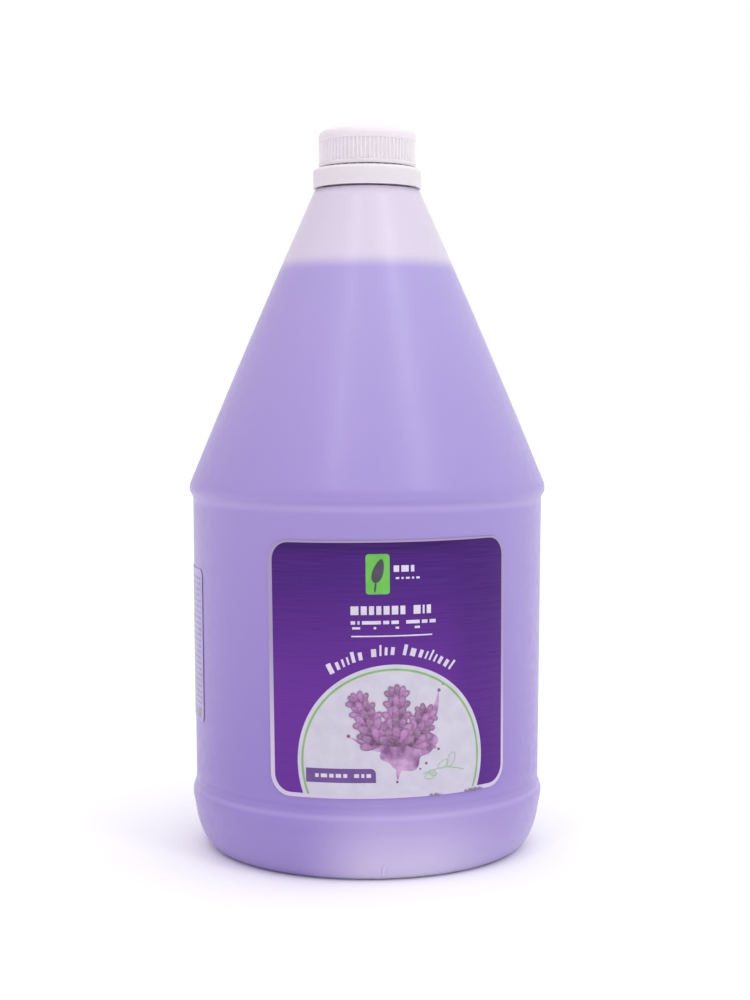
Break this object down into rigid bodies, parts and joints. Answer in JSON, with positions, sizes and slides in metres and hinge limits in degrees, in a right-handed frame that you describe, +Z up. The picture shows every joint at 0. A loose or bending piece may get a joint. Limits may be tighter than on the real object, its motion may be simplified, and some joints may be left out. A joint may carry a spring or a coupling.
{
  "type": "round oil jug with screw cap",
  "caption": "Large round translucent jug of massage oil with a conical shoulder, a ribbed screw cap, a tamper-evident band and wrapped labels.",
  "frame": {"origin": "centre of the ring the jug stands on, at the floor", "axes": "+Z up along the jug's axis to the cap, front label facing -Y"},
  "size_m": [0.1564, 0.1564, 0.3133],
  "materials": {
    "jug_plastic": "natural translucent polyethylene, satin",
    "oil": "clear lilac oil",
    "cap_plastic": "satin white polypropylene",
    "liner_foam": "white foam",
    "label_film": "printed metallic purple film",
    "back_film": "printed grey film"
  },
  "bodies": {
    "jug": {"bottle_body": "jug_plastic", "massage_oil": "oil", "front_label": "label_film", "back_label": "back_film"},
    "liner": {"cap_liner": "liner_foam"},
    "cap": {"screw_cap": "cap_plastic"},
    "band": {"tamper_band": "cap_plastic", "break_bridges": "cap_plastic"}
  },
  "joints": [
    {"name": "cap_lift", "type": "slide", "parent": "jug", "child": "liner", "axis": [0, 0, 1], "range_m": [0, 0.0138]},
    {"name": "cap_turn", "type": "hinge", "parent": "liner", "child": "cap", "pos_m": [0, 0, 0.305], "axis": [0, 0, 1], "range_deg": [0, 1170]},
    {"name": "band_turn", "type": "hinge", "parent": "jug", "child": "band", "pos_m": [0, 0, 0.292], "axis": [0, 0, 1], "continuous": true}
  ],
  "couplings": [
    {"joint": "cap_lift", "follows": "cap_turn", "m_per_rad": 0.0006737}
  ]
}
